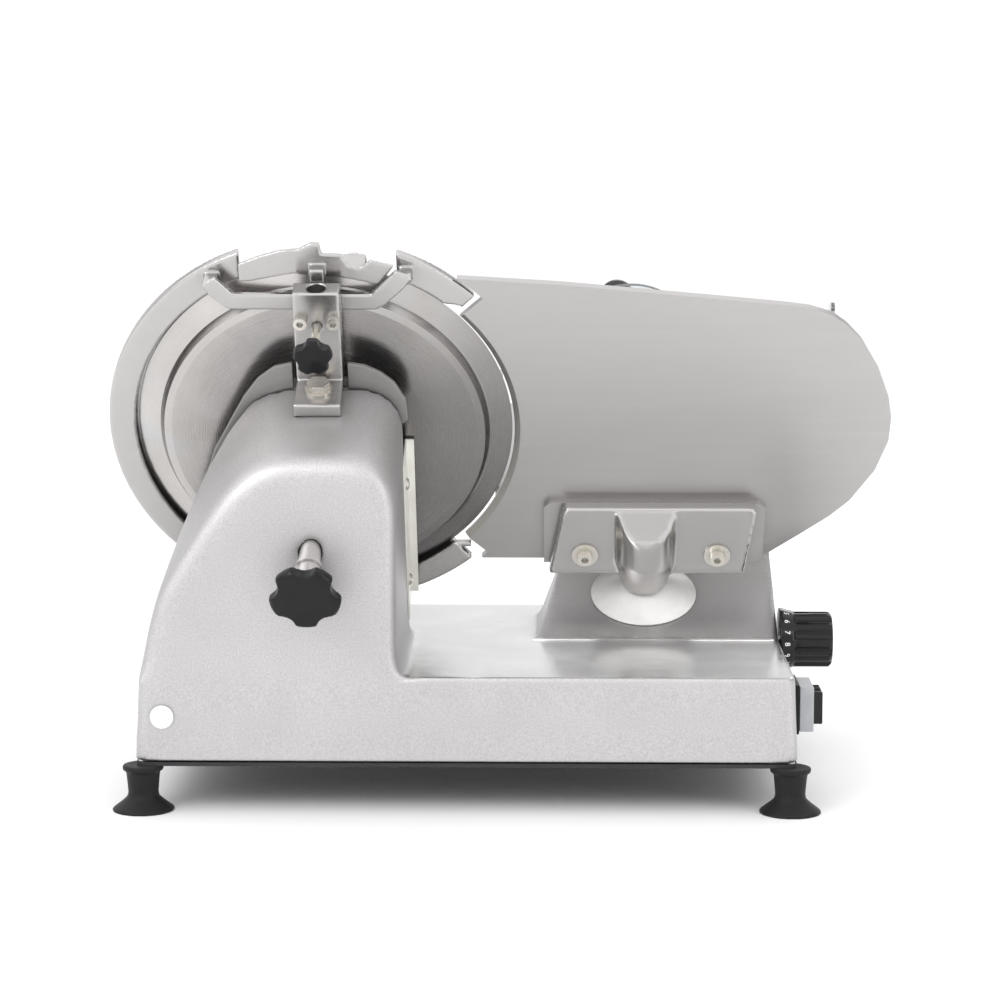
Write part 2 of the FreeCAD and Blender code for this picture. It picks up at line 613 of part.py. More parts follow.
for stone, (across, up) in zip(("grinding", "deburring"), STONES):
    wheel = tube(f"{stone}_stone", 7, 3 + STEEL_FIT, 3.5)
    node(f"{stone}_stone", hang(wheel, across, up, -8))
    button = turned(f"{stone}_button", [
        (0, 0), (3, 0), (3, 3.6), (4.2, 3.6), (4.2, 5), (3, 5), (3, 14.5), (4.5, 14.5), (4.5, 17),
        (4, 17.5), (0, 17.5)])
    node(f"{stone}_button", hang(button, across, up, -4.5, ALONG_FOOD))

# ---------------------------------------------------------------- slice deflector and tower plate

deflector = plate("deflector_sheet", [
    ("arch_side + 0.1", -46), ("arch_side + 1.3", -46), ("arch_side + 1.3", -14.2),
    ("arch_side + 6", -14.2), ("arch_side + 6", -13), ("arch_side + 0.1", -13)], 126)
hang(deflector, 0, -128, 0, ALONG_UP)
node("slice_deflector", cut("slice_deflector", deflector, flank_bores("deflector")))
flank_screws = []
for k, up in enumerate(FLANK_SCREWS):
    flank_screws.append(hang(pan_screw(f"flank_screw{k}", 1.8, 6, 4.2), "arch_side + 1.3", up, 38,
                             ALONG_ACROSS))
node("deflector_screws", group("deflector_screws", flank_screws))

tower_plate = hang(plate("tower_plate_pad", [
    (-88, -50), (-72, 0), (-60, 23), (-50, 42), (-40, 56), (-29, 65), (-17, 68), (-17, 48.5), (19, 48.5),
    (19, 68), (30, 66), (40, 61), (49, 53), (56, 40), (57, 24), (53, 21), (53, -50)], 3), 0, 0,
    "tower_back - 3")
node("tower_plate", drilled("tower_plate", tower_plate, [(0, 0)], 16, 20, 20))

# ---------------------------------------------------------------- thickness plate

def gauge_plate():
    slab = plate("gauge_slab", [
        (60, 119), (156, 112.5), (254, 102.5), (301, 97.5), (318, 95), (333, 90), (343, 82), (353, 70.5),
        (366, 47), (374, 25), (376.5, 10), (376, -8), (368.5, -32), (353, -57), (340, -70), (321, -85),
        (300, -101), (290, -106), (134, -106), (104, -106), (60, -70)], "gauge_thick")
    hang(slab)
    boss = hang(plate("gauge_boss", [(146, -106), (146, -60), (150, -56), (291, -56), (296, -60),
                                     (296, -103), (292, -106)], 5), 0, 0, "gauge_thick")
    tools = [sector("gauge_arc", "gauge_gap", -80, 160, 40, -20),
             sector("gauge_upper_notch", "ring_outer + 3", 43.8, 60, 40, -20),
             sector("gauge_lower_notch", "ring_outer + 3", -60, 16.7, 40, -20),
             hang(turned("gauge_rim", [(0, 2), ("gauge_gap", 2), ("gauge_gap + 4.5", 5.5), (0, 5.5)]))]
    solid = joined("gauge_joined", [slab, boss])
    tools += [hang(round_bar(f"gauge_hole{k}", 2.9, 30), across, up, 3)
              for k, (across, up) in enumerate(GAUGE_SCREWS)]
    return cut("gauge_plate", solid, tools)


GAUGE_SCREWS = [(174, -92), (264, -92)]
BAR_BACK, BAR_FRONT = 10, 20


def gauge_bracket():
    bar = hang(plate("bracket_bar", [(149, -109), (158, -58), (161, -54), (287, -54), (290, -57),
                                     (283, -109)], BAR_FRONT - BAR_BACK), 0, 0, BAR_BACK)
    nose = turned("bar_nose_cone", [(0, 0), (14.5, 0), (21, 26), (21, 70), (0, 70)])
    hang(nose, "post_x", -124, 13, ALONG_UP)
    keep = plate("bar_keep", [(BAR_BACK, -121.2), (40, -121.2), (37.5, -88), (32, -73), (BAR_FRONT + 1, -57),
                              (BAR_BACK, -57)], 60)
    column = overlap("bar_nose", nose, hang(keep, "post_x + 30", 0, 0, SIDEWAYS))
    neck = hang(round_bar("bar_neck", 12.5, 13), "post_x", -121.2, "post_out", ALONG_UP)
    post = hang(round_bar("bar_post", 8, 26), "post_x", -146, "post_out", ALONG_UP)
    solid = joined("bracket_body", [bar, column, neck, post])
    return drilled("gauge_bracket", solid, GAUGE_SCREWS, 3.1, 0, 30)


node("gauge_plate", gauge_plate())
node("gauge_bracket", gauge_bracket())


def washered_screw(name):
    """Socket screw with its flat washer under the head."""
    washer = round_bar(name + "_washer", 9, 1.4)
    washer.setExpression("Placement.Base.z", "-1.4")
    return joined(name, [socket_screw(name + "_screw", 2.85, 17, 5, 5.5), washer])


screws("gauge_screws", GAUGE_SCREWS, BAR_FRONT + 1.4, washered_screw)

dish = turned("dust_dish", [(8.05, 10.5), (34.5, 0), ("dish_radius", 0), ("dish_radius", 1.2),
                            (13.5, "dish_height"), (8.05, "dish_height")])
node("dust_dish", hang(dish, "post_x", "slope_up + 0.3", "post_out", ALONG_UP))

slide = hang(block("slide_block_solid", 40, 24, 32), "post_x - 20", -170, "post_out - 16")
follower = hang(round_bar("cam_follower", 3, 14), "post_x + 18", -158, 12, ALONG_ACROSS)
node("gauge_slide", drilled("gauge_slide", joined("slide_solid", [slide, follower]),
                            [("post_x", -158)], f"6 + {STEEL_FIT}", -30, 80))
node("gauge_guide_rod", hang(round_bar("gauge_guide_rod", 6, 76), "post_x", -158, -20))

# ---------------------------------------------------------------- dial

def dial_knob():
    """Fluted grip with a wider skirt for the scale next to the base."""
    body = turned("dial_body", [
        (4, 0), ("dial_radius + 2.5", 0), ("dial_radius + 2.5", 1.5), ("dial_radius + 0.5", 9),
        ("dial_radius", 10), ("dial_radius", "dial_length - 2"), ("dial_radius - 2", "dial_length"),
        (0, "dial_length"), (0, 20), (4, 20)])
    tools = []
    for k, (x, y) in enumerate(on_circle(10, "dial_radius + 2.4")):
        flute = round_bar(f"dial_flute{k}", 4.6, 40)
        flute.setExpression("Placement.Base.x", bound(x))
        flute.setExpression("Placement.Base.y", bound(y))
        flute.setExpression("Placement.Base.z", "10")
        tools.append(flute)
    return cut("dial_knob", body, tools)


DIAL_X = "base_length / 2 - 0.8"
node("dial_knob", stand(dial_knob(), DIAL_X, "dial_y", "dial_z", ALONG_ACROSS))
node("dial_bush", stand(tube("dial_bush", 7.98, 4, 16), "base_length / 2 - 18", "dial_y", "dial_z",
                        ALONG_ACROSS))
cam_shaft = turned("dial_shaft", [(0, 0), (7, 0), (7, 6), (3.95, 6), (3.95, 86.5), (0, 86.5)])
node("dial_shaft", stand(cam_shaft, "base_length / 2 - 68.5", "dial_y", "dial_z", ALONG_ACROSS))

# ---------------------------------------------------------------- switch

gasket = stand(block("switch_gasket_block", 3.3, 38, 32), "base_length / 2 - 0.4", "switch_y - 19",
               "switch_z - 16")
opening = stand(block("switch_opening", 30, 27.6, 21.6), "base_length / 2 - 15", "switch_y - 13.8",
                "switch_z - 10.8")
node("switch_gasket", cut("switch_gasket", gasket, [opening]))
frame = stand(block("switch_frame", 9, 35, 29), "base_length / 2 + 3.2", "switch_y - 17.5",
              "switch_z - 14.5")
body = stand(block("switch_body", 22, 27, 21), "base_length / 2 - 14", "switch_y - 13.5",
             "switch_z - 10.5")
pockets = [stand(block(f"switch_pocket{k}", 12, 12.4, 21.4), "base_length / 2 + 4.2",
                 f"switch_y + {shift} - 6.2", "switch_z - 10.7") for k, shift in enumerate((-6.8, 6.8))]
node("switch_housing", cut("switch_housing", joined("switch_solid", [frame, body]), pockets))
for name, shift in (("start_button", -6.8), ("stop_button", 6.8)):
    cap = stand(block(name, 11, 12, 21), "base_length / 2 + 7.2", f"switch_y + {shift} - 6",
                "switch_z - 10.5")
    node(name, cap)

# ---------------------------------------------------------------- gland and label

TO_REAR = Rotation(Vector(1, 0, 0), -90)
gland = turned("cord_gland", [(4, -14), (7.9, -14), (7.9, 0), (12, 0), (12, 3), (9, 9), (4, 9)])
node("cord_gland", stand(gland, "gland_x", "base_depth / 2", 60, TO_REAR))
label = round_bar("rating_label", 7.5, 0.8)
node("rating_label", stand(label, -192.5, "0.75 - base_depth / 2", 61, Rotation(Vector(1, 0, 0), 90)))

# ---------------------------------------------------------------- carriage

rail = round_bar("carriage_rail", "rail_radius", "base_length - 2 * wall")
node("carriage_rail", stand(rail, "wall - base_length / 2", "rail_y", "rail_z", ALONG_ACROSS))
bushes = []
for name, side in (("left_bush", -30), ("right_bush", 16)):
    bush = tube(name, "rail_radius + 3", f"rail_radius + {STEEL_FIT}", 14)
    bushes.append(stand(bush, f"arm_x + {side}", "rail_y", "rail_z", ALONG_ACROSS))
node("carriage_bushes", group("carriage_bushes", bushes))


def carriage_arm():
    runner = cut("runner", stand(block("runner_block", 60, 32, 30), "arm_x - 30", "rail_y - 16",
                                 "rail_z - 15"),
                 [stand(round_bar("runner_bore", "rail_radius + 3", 80), "arm_x - 40", "rail_y",
                        "rail_z", ALONG_ACROSS)])
    reach = stand(block("arm_reach", 40, 30, 14), "arm_x - 20", "rail_y + 14", "rail_z - 7")
    mast = stand(block("arm_mast", 40, 12, 143), "arm_x - 20", "rail_y + 30", "rail_z - 7")
    head = hang(block("arm_head", 80, 8, 86), "arm_x - blade_x - 40", "tray_up - 11", -168)
    lock = hang(round_bar("lock_bore", 4.05, 30), "arm_x - blade_x", "tray_up - 20", "lock_out", ALONG_UP)
    return cut("carriage_arm", joined("arm_solid", [runner, reach, mast, head]), [lock])


node("carriage_arm", carriage_arm())
tray = hang(plate("tray_floor", [
    ("tray_left", "-tray_front"), (296, "-tray_front"), ("tray_right", 50), ("tray_right", "-tray_back"),
    ("tray_left", "-tray_back")], 3), 0, "tray_up - 3", 0, ALONG_UP)
fence = hang(block("tray_fence", 3, 30.5, "tray_front - tray_back - 30"), "tray_left",
             "tray_up - 0.5", "tray_back")
node("food_tray", joined("food_tray", [tray, fence]))

ROD_X, ROD_UP = "tray_right - 13", -60


def tray_end_wall():
    """Wall across the tray's right end, with the two ears that hold the pusher's rod."""
    wall = hang(plate("end_wall", [
        ("tray_back", "tray_up"), (-48, "tray_up"), ("tray_front - 6", -78), ("tray_front - 6", 40),
        ("tray_front - 30", 34), ("tray_front - 31", -48),
        ("tray_back + 8", -48), ("tray_back", -56)], 3), "tray_right", 0, 0, SIDEWAYS)
    lug = hang(block("grip_lug", 23, 10, 14), "tray_right - 1", -64, -99)
    ears = [hang(block(f"rod_ear{k}", 21, 16, 6), "tray_right - 23", ROD_UP - 8, out)
            for k, out in enumerate(("tray_back + 2", "tray_front - 18"))]
    return drilled("tray_end_wall", joined("end_wall_solid", [wall, lug] + ears), [(ROD_X, ROD_UP)], 5,
                   -200, 220)


node("tray_end_wall", tray_end_wall())
guard = plate("hand_guard", [("tray_front - 30", 14), ("tray_front - 8", 14), ("tray_front - 8", 84),
                             ("tray_front - 13", 85), ("tray_front - 30", 73)], 2.5)
node("hand_guard", hang(guard, "tray_right + 2.5", 0, 0, SIDEWAYS))
grip = turned("carriage_grip", [(0, 0), (7, 0), (7, 4), (11.5, 8), (12, 38), (9, 46), (0, 48)])
node("carriage_grip", hang(grip, "tray_right + 15.5", -64, -92, ALONG_DOWN))

node("pusher_rod", hang(round_bar("pusher_rod", 5, "tray_front - tray_back - 12"), ROD_X, ROD_UP,
                        "tray_back + 2"))

PUSHER_OUT = -75
node("pusher_collar", hang(tube("pusher_collar", 8.5, f"5 + {STEEL_FIT}", 5), ROD_X, ROD_UP, -103))


def pusher_arm():
    sleeve = hang(tube("arm_sleeve", 9, f"5 + {STEEL_FIT}", 40), ROD_X, ROD_UP, -97.7)
    bar = hang(block("arm_bar", 62, 12, 9), "tray_right - 80", ROD_UP - 14, PUSHER_OUT - 9)
    bore = hang(round_bar("arm_bore", 7, 60), ROD_X, ROD_UP, -110)
    return joined("pusher_arm", [sleeve, cut("arm_bar_cut", bar, [bore])])


node("pusher_arm", pusher_arm())
node("pusher_plate", joined("pusher_plate", [
    hang(block("pusher_slab", 165, 100, 4), 141, -88, PUSHER_OUT),
    hang(block("toothed_plate", 150, 70, 2), 148, -80, PUSHER_OUT + 4)]))
node("pusher_shield", hang(round_bar("pusher_shield", 42, 3), 205, 22, PUSHER_OUT - 3.2))
handle = turned("pusher_handle", [(0, 0), (14, 0), (14, 3), (9, 8), (9, 20), (12.5, 40), (12.5, 66),
                                  (9, 73), (0, 75)])
node("pusher_handle", hang(handle, 197, 15, PUSHER_OUT - 3.2, ALONG_FOOD))

lock_stud = round_bar("lock_stud", 4, 26)
lock_stud.setExpression("Placement.Base.z", "-14.5")
lock = joined("lock_knob", [lobed_knob("lock_grip", 15, 12, 4, 7, 5, 90), lock_stud])
node("lock_knob", hang(lock, "arm_x - blade_x", "tray_up - 19", "lock_out", ALONG_DOWN))

# ---------------------------------------------------------------- checks and files

doc.recompute()
for obj in doc.Objects:
    if "Invalid" in obj.State or "Error" in obj.State:
        raise RuntimeError(f"{obj.Name} did not compute: {obj.State}")
for piece in nodes:
    if piece.Shape.isNull() or not piece.Shape.isValid():
        raise RuntimeError(f"{piece.Label} has no valid shape")

os.makedirs("parts", exist_ok=True)
for piece in nodes:
    piece.Shape.exportStep(f"parts/{piece.Label}.step")
box = FreeCAD.BoundBox()
for piece in nodes:
    box.add(piece.Shape.BoundBox)
print(len(nodes), "nodes", box)
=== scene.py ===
import json
import math

import bmesh
import bpy
from mathutils import Matrix, Vector


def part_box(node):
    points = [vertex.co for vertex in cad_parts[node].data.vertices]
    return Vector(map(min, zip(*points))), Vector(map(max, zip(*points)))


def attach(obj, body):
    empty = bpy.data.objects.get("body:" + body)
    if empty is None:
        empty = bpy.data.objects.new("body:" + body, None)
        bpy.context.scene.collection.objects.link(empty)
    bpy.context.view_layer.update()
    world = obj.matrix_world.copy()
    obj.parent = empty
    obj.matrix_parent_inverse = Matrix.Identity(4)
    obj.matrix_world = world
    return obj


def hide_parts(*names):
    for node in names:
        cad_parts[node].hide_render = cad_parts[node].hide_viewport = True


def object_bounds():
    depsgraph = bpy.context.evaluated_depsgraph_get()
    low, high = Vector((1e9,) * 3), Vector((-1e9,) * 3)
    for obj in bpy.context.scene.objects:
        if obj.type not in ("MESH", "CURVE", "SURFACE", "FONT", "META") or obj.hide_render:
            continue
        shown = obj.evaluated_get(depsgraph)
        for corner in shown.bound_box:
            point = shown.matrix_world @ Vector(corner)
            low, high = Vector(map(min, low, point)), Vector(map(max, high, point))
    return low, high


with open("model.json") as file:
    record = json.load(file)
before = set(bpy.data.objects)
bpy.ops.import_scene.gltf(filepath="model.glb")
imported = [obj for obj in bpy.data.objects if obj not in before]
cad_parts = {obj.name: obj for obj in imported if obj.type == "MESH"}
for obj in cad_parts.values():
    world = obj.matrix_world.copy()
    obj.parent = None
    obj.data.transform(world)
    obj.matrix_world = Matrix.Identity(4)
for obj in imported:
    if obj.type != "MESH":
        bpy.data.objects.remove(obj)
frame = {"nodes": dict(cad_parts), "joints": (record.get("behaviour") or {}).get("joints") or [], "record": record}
CAD_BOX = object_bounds()
MM = 0.001
WELD = 1e-6
scene = bpy.context.scene

# ---------------------------------------------------------------- frames of the machine

JOINTS = {joint["name"]: joint for joint in frame["joints"]}
BODIES = frame["record"]["behaviour"]["bodies"]
BODY_OF = {node: body for body, members in BODIES.items() for node in members}
SLOT_OF = {row["node"]: row["material_slot"] for row in frame["record"]["subparts"]}


def middle(node):
    low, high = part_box(node)
    return (low + high) / 2


# MACHINE is the point on the floor under the base's middle. BLADE_FRAME has its origin on the blade's axis:
# X across the machine, Y up the blade's face, Z out of the motor side.
MACHINE = Vector((middle("bottom_plate").x, middle("bottom_plate").y, 0))
ACROSS = Vector((1, 0, 0))
OUT = Vector(JOINTS["blade_spin"]["axis"]).normalized()
UP = OUT.cross(ACROSS)
BLADE_FRAME = Matrix((ACROSS, UP, OUT)).transposed().to_4x4()
BLADE_FRAME.translation = Vector(JOINTS["blade_spin"]["pos_m"])
BLADE_VIEW = BLADE_FRAME.inverted()
BASE_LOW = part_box("base_housing")[0]
GASKET_TO_BASE_TOP = 9.4
BASE_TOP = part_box("switch_gasket")[1].z + GASKET_TO_BASE_TOP * MM


# ---------------------------------------------------------------- materials

class Tree:
    """Short calls for building one material's nodes."""

    def __init__(self, name, metallic=0.0, **constants):
        self.material = bpy.data.materials.new(name)
        self.material.use_nodes = True
        self.tree = self.material.node_tree
        self.shader = self.tree.nodes["Principled BSDF"]
        self.shader.inputs["Metallic"].default_value = metallic
        for socket, value in constants.items():
            self.shader.inputs[socket.replace("_", " ")].default_value = value
        self.place = self.node("ShaderNodeTexCoord").outputs["Object"]
        self.normal = None

    def node(self, kind, **settings):
        made = self.tree.nodes.new(kind)
        for key, value in settings.items():
            setattr(made, key, value)
        return made

    def link(self, source, target):
        self.tree.links.new(source, target)

    def stretched(self, scale):
        """The object's own place, scaled along each axis."""
        mapping = self.node("ShaderNodeMapping")
        mapping.inputs["Scale"].default_value = scale
        self.link(self.place, mapping.inputs["Vector"])
        return mapping.outputs["Vector"]

    def noise(self, scale, detail=4.0, rough=0.55, where=None, distort=0.0):
        texture = self.node("ShaderNodeTexNoise")
        texture.inputs["Scale"].default_value = scale
        texture.inputs["Detail"].default_value = detail
        texture.inputs["Roughness"].default_value = rough
        texture.inputs["Distortion"].default_value = distort
        self.link(where or self.place, texture.inputs["Vector"])
        return texture.outputs["Fac"]

    def ramp(self, value, *stops):
        """Map a value through (position, grey or colour) stops."""
        ramp = self.node("ShaderNodeValToRGB")
        elements = ramp.color_ramp.elements
        while len(elements) < len(stops):
            elements.new(0.5)
        for element, (position, colour) in zip(elements, stops):
            element.position = position
            element.color = (colour,) * 3 + (1,) if isinstance(colour, (int, float)) else (*colour, 1)
        self.link(value, ramp.inputs["Fac"])
        return ramp.outputs["Color"]

    def mixed(self, fac, first, second, blend="MIX"):
        mix = self.node("ShaderNodeMix", data_type="RGBA", blend_type=blend)
        for socket, value in ((mix.inputs["Factor"], fac), (mix.inputs[6], first), (mix.inputs[7], second)):
            if isinstance(value, (int, float)):
                socket.default_value = value
            elif isinstance(value, tuple):
                socket.default_value = (*value, 1)
            else:
                self.link(value, socket)
        return mix.outputs[2]

    def maths(self, operation, first, second=0.0, third=0.0):
        node = self.node("ShaderNodeMath", operation=operation)
        for socket, value in zip(node.inputs, (first, second, third)):
            if isinstance(value, (int, float)):
                socket.default_value = value
            else:
                self.link(value, socket)
        return node.outputs["Value"]

    def bump(self, height, strength, distance=0.0005):
        bump = self.node("ShaderNodeBump")
        bump.inputs["Strength"].default_value = strength
        bump.inputs["Distance"].default_value = distance
        self.link(height, bump.inputs["Height"])
        if self.normal is not None:
            self.link(self.normal, bump.inputs["Normal"])
        self.normal = bump.outputs["Normal"]

    def shade_in_corners(self, colour, reach, strength):
        """Paint shade into the colour: darker where another surface lies within reach metres, as in corners and
        crevices.
        """
        closed = self.node("ShaderNodeAmbientOcclusion", samples=6)
        closed.inputs["Distance"].default_value = reach
        # Painted shade: how far the colour darkens towards near-black where the AO node finds a surface close by.
        painted_shade = self.maths("MULTIPLY", self.maths("SUBTRACT", 1.0, closed.outputs["AO"]), strength)
        return self.mixed(painted_shade, colour, (0.05, 0.05, 0.05))

    def along_blade(self, row):
        """The object's own place along one axis of the blade's frame, in metres."""
        dot = self.node("ShaderNodeVectorMath", operation="DOT_PRODUCT")
        self.link(self.place, dot.inputs[0])
        dot.inputs[1].default_value = row[:3]
        return self.maths("ADD", dot.outputs["Value"], row[3])

    def radial_brushing(self, amount):
        """Stretch reflections across rings about the blade's axis."""
        self.shader.inputs["Anisotropic"].default_value = amount
        arm = self.node("ShaderNodeVectorMath", operation="SUBTRACT")
        self.link(self.place, arm.inputs[0])
        arm.inputs[1].default_value = BLADE_FRAME.translation
        tangent = self.node("ShaderNodeVectorMath", operation="CROSS_PRODUCT")
        tangent.inputs[0].default_value = OUT
        self.link(arm.outputs["Vector"], tangent.inputs[1])
        self.link(tangent.outputs["Vector"], self.shader.inputs["Tangent"])

    def worn_edges(self, low=0.52, high=0.6):
        """1 along outer edges of an evenly meshed piece."""
        return self.ramp(self.node("ShaderNodeNewGeometry").outputs["Pointiness"], (low, 0.0), (high, 1.0))

    def done(self, colour, roughness):
        self.link(colour, self.shader.inputs["Base Color"])
        self.link(roughness, self.shader.inputs["Roughness"])
        if self.normal is not None:
            self.link(self.normal, self.shader.inputs["Normal"])
        return self.material


def grey(value, tint=(1.0, 1.0, 1.0)):
    """A grey of one value, times a tint."""
    return tuple(value * t for t in tint)


WARM = (1.0, 0.974, 0.96)
ROSY = (1.0, 0.978, 0.982)
BLACK_BELOW = 0.1


def cast_housing():
    """Sandblasted casting whose level top faces are polished and lacquered."""
    t = Tree("cast_housing", metallic=0.85)
    upward = t.node("ShaderNodeSeparateXYZ")
    t.link(t.node("ShaderNodeNewGeometry").outputs["Normal"], upward.inputs["Vector"])
    place = t.node("ShaderNodeSeparateXYZ")
    t.link(t.place, place.inputs["Vector"])
    level = t.ramp(upward.outputs["Z"], (0.8, 0.0), (0.97, 1.0))
    grain = t.noise(2600, 3, 0.7)
    cloud = t.noise(14, 5, 0.6)
    speck = t.ramp(t.noise(900, 2, 0.5), (0.3, 0.0), (0.7, 1.0))
    body = t.mixed(t.ramp(cloud, (0.3, 0.0), (0.7, 1.0)), grey(0.55, ROSY), grey(0.61, ROSY))
    body = t.mixed(t.maths("MULTIPLY", speck, 0.5), body, grey(0.36, ROSY))
    body = t.mixed(t.maths("MULTIPLY", t.worn_edges(0.53, 0.64), 0.4), body, grey(0.7))
    top = t.mixed(t.ramp(t.noise(9, 6, 0.6, distort=0.6), (0.35, 0.0), (0.65, 1.0)), grey(0.58), grey(0.66))
    # Painted shade: the housing's colour darkens in corners and recesses within 2 cm of another surface.
    colour = t.shade_in_corners(t.mixed(level, body, top), 0.02, 0.5)
    matt = t.ramp(cloud, (0.3, 0.40), (0.7, 0.5))
    glossy = t.ramp(t.noise(30, 5, 0.65), (0.3, 0.12), (0.75, 0.26))
    roughness = t.mixed(level, matt, glossy)
    pits = t.mixed(level, grain, grey(0.5))
    t.bump(pits, 0.35, 0.00025)
    t.bump(cloud, 0.12, 0.001)
    return t.done(colour, roughness)


def satin_plate(name, value, rough, direction, strength, tint=WARM, edges=True, painted_shade=0.5):
    """Sheet or casting with a fine linear finish, faint streaks and handling marks, and shade painted into its
    corners.
    """
    t = Tree(name, metallic=0.95)
    fine = t.noise(90, 6, 0.7, where=t.stretched(direction))
    broad = t.noise(7, 5, 0.6, distort=0.4)
    drawn = tuple(scale * share for scale, share in zip(direction, (0.3, 0.12, 0.3)))
    streak = t.noise(22, 3, 0.5, where=t.stretched(drawn))
    colour = t.mixed(t.ramp(broad, (0.3, 0.0), (0.72, 1.0)), grey(value * 0.93, tint), grey(value, tint))
    colour = t.mixed(t.maths("MULTIPLY", t.ramp(streak, (0.45, 0.0), (0.75, 1.0)), 0.25), colour,
                     grey(value * 1.08, tint))
    if edges:
        colour = t.mixed(t.maths("MULTIPLY", t.worn_edges(), 0.4), colour, grey(min(0.9, value * 1.3)))
    # Painted shade: darker within 8 mm of another surface, strength set per material.
    if painted_shade:
        colour = t.shade_in_corners(colour, 0.008, painted_shade)
    roughness = t.mixed(fine, grey(rough * 0.8), grey(rough * 1.25))
    roughness = t.mixed(t.maths("MULTIPLY", t.ramp(broad, (0.4, 0.0), (0.8, 1.0)), 0.3), roughness,
                        grey(min(1.0, rough * 1.5)))
    t.bump(fine, strength, 0.0002)
    return t.done(colour, roughness)


def ground_steel(name, value, rough, rings=900.0, dark_reflection=0.0, painted_shade=0.0, brushing=0.6):
    """Steel ground on a turntable: fine rings about the blade's axis, radial clouding, a painted dark reflection
    in a fan about the axis, and painted shade in corners.
    """
    t = Tree(name, metallic=1.0)
    across, up = (t.along_blade(row) for row in BLADE_VIEW[:2])
    squares = t.maths("ADD", t.maths("MULTIPLY", across, across), t.maths("MULTIPLY", up, up))
    radius = t.maths("SQRT", squares)
    angle = t.maths("ARCTAN2", up, across)
    line = t.node("ShaderNodeCombineXYZ")
    t.link(t.maths("MULTIPLY", radius, rings), line.inputs["X"])
    t.link(t.maths("MULTIPLY", angle, 0.7), line.inputs["Y"])
    ring = t.noise(2.5, 5, 0.7, where=line.outputs["Vector"])
    sweep = t.node("ShaderNodeCombineXYZ")
    t.link(t.maths("MULTIPLY", radius, 9.0), sweep.inputs["X"])
    t.link(t.maths("SINE", angle), sweep.inputs["Y"])
    t.link(t.maths("COSINE", angle), sweep.inputs["Z"])
    cloud = t.noise(1.6, 4, 0.55, where=sweep.outputs["Vector"], distort=0.5)
    colour = t.mixed(t.ramp(cloud, (0.32, 0.0), (0.68, 1.0)), grey(value * 0.82, (1.0, 0.95, 0.91)),
                     grey(value, (1.0, 0.965, 0.95)))
    colour = t.mixed(t.maths("MULTIPLY", ring, 0.25), colour, grey(value * 0.75))
    bloom = t.noise(1.1, 2, 0.5, where=sweep.outputs["Vector"], distort=1.2)
    colour = t.mixed(t.maths("MULTIPLY", t.ramp(bloom, (0.5, 0.0), (0.7, 1.0)), 0.4), colour,
                     grey(value * 0.9, (0.9, 0.95, 1.02)))
    # Painted dark reflection: a fan of darker colour about the blade's axis, standing in for the dark sectors
    # turned steel reflects.
    painted_reflection_fan = t.maths("ADD", t.maths("MULTIPLY", t.maths("COSINE", t.maths("ADD", angle, 0.35)), 0.5), 0.5)
    painted_reflection_fan = t.maths("ADD", painted_reflection_fan, t.maths("MULTIPLY", t.maths("SINE", t.maths("MULTIPLY", angle, 5.0)), 0.06))
    colour = t.mixed(t.maths("MULTIPLY", t.ramp(painted_reflection_fan, (0.35, 0.0), (0.92, 1.0)), dark_reflection), colour,
                     grey(value * 0.3, (1.0, 0.97, 0.95)))
    # Painted shade: the steel's colour darkens within 6 mm of another surface.
    if painted_shade:
        colour = t.shade_in_corners(colour, 0.006, painted_shade)
    t.radial_brushing(brushing)
    roughness = t.mixed(ring, grey(rough * 0.7), grey(rough * 1.4))
    t.bump(ring, 0.03, 0.0001)
    return t.done(colour, roughness)


def plastic(name, colour, rough, grain=0.12, sheen=0.0, coat=0.0, scale=1800):
    """Moulded plastic: fine spark texture, faint mould flow, paler worn edges."""
    t = Tree(name, Coat_Weight=coat, Coat_Roughness=0.12, Sheen_Weight=sheen,
             Specular_IOR_Level=0.5 if max(colour) > BLACK_BELOW else 0.2)
    fine = t.noise(scale, 3, 0.6)
    flow = t.noise(30, 5, 0.6, distort=0.8)
    lighter = tuple(min(1.0, c * 1.3 + 0.003) for c in colour)
    mixed = t.mixed(t.ramp(flow, (0.3, 0.0), (0.75, 1.0)), colour, lighter)
    mixed = t.mixed(t.maths("MULTIPLY", t.worn_edges(0.54, 0.68), 0.35), mixed,
                    tuple(min(1.0, c * 1.2 + 0.02) for c in colour))
    roughness = t.mixed(t.ramp(flow, (0.25, 0.0), (0.8, 1.0)), grey(rough * 0.85),
                        grey(min(1.0, rough * 1.3)))
    t.bump(fine, grain, 0.0002)
    t.bump(flow, 0.05, 0.0006)
    return t.done(mixed, roughness)


def clear_sheet():
    """Clear moulded sheet with greasy smears."""
    t = Tree("clear_sheet", Transmission_Weight=0.92, IOR=1.46)
    smear = t.noise(26, 5, 0.6, distort=1.0)
    colour = t.mixed(t.ramp(smear, (0.3, 0.0), (0.8, 1.0)), (0.93, 0.95, 0.96), (0.86, 0.89, 0.91))
    roughness = t.mixed(t.ramp(smear, (0.35, 0.0), (0.85, 1.0)), grey(0.03), grey(0.16))
    t.bump(smear, 0.03, 0.0005)
    return t.done(colour, roughness)


def abrasive():
    """Brown abrasive grit."""
    t = Tree("abrasive_stone")
    grit = t.noise(1500, 4, 0.8)
    colour = t.mixed(t.ramp(grit, (0.35, 0.0), (0.65, 1.0)), (0.30, 0.22, 0.17), (0.62, 0.5, 0.4))
    t.bump(grit, 0.9, 0.0006)
    return t.done(colour, t.ramp(grit, (0.0, 0.8), (1.0, 1.0)))


def label_paper():
    """White paper label under a thin clear film."""
    t = Tree("label_paper", Coat_Weight=0.4, Coat_Roughness=0.2)
    fibre = t.noise(700, 4, 0.6)
    colour = t.mixed(t.ramp(t.noise(60, 4, 0.6), (0.3, 0.0), (0.7, 1.0)), (0.74, 0.74, 0.73),
                     (0.8, 0.8, 0.79))
    t.bump(fibre, 0.06, 0.0002)
    return t.done(colour, t.ramp(fibre, (0.3, 0.32), (0.7, 0.42)))


